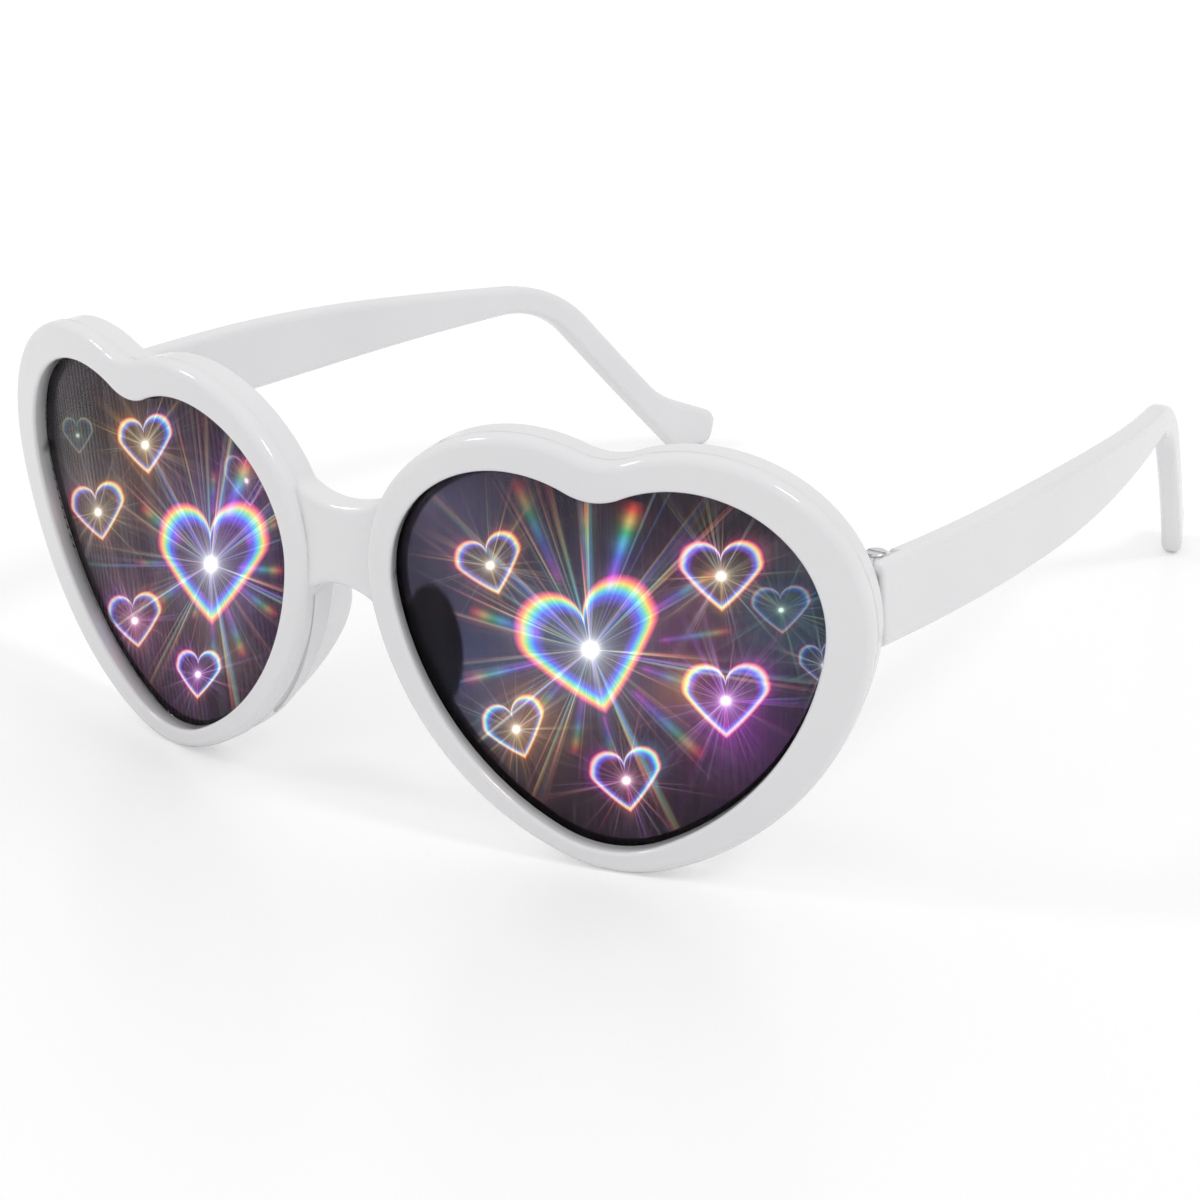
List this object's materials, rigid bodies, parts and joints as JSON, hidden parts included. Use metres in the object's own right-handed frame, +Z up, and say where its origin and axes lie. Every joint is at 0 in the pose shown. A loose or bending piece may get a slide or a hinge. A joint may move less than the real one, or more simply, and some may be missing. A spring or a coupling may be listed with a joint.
{
  "type": "diffraction glasses",
  "caption": "Heart-shaped white plastic glasses with dark diffraction lenses that turn points of light into hearts, with folding temples and moulded nose pads.",
  "frame": {"origin": "the middle of the open glasses' footprint, on the surface that they stand on", "axes": "+Z up, the lenses face -Y, the temples run back to +Y, and +X is to the right for someone who looks at the front of the glasses (the wearer's left)"},
  "size_m": [0.1392, 0.1564, 0.0583],
  "materials": {
    "white_frame_plastic": "polished white injection-moulded polycarbonate",
    "clear_lens_plastic": "clear polished lens sheet",
    "diffraction_film": "smoke-tinted diffraction film that shows rainbow hearts round each point of light",
    "hinge_screw_steel": "bright turned steel"
  },
  "bodies": {
    "front": {"front_frame": "white_frame_plastic", "right_lens": "clear_lens_plastic", "left_lens": "clear_lens_plastic", "right_diffraction_film": "diffraction_film", "left_diffraction_film": "diffraction_film", "right_hinge_screw": "hinge_screw_steel", "left_hinge_screw": "hinge_screw_steel"},
    "right_temple": {"right_temple": "white_frame_plastic"},
    "left_temple": {"left_temple": "white_frame_plastic"}
  },
  "joints": [
    {"name": "right_temple_fold", "type": "hinge", "parent": "front", "child": "right_temple", "pos_m": [0.06468, -0.05267, 0.03863], "axis": [0, 0, 1], "range_deg": [0, 82]},
    {"name": "left_temple_fold", "type": "hinge", "parent": "front", "child": "left_temple", "pos_m": [-0.06468, -0.05267, 0.03863], "axis": [0, 0, -1], "range_deg": [0, 75]}
  ]
}
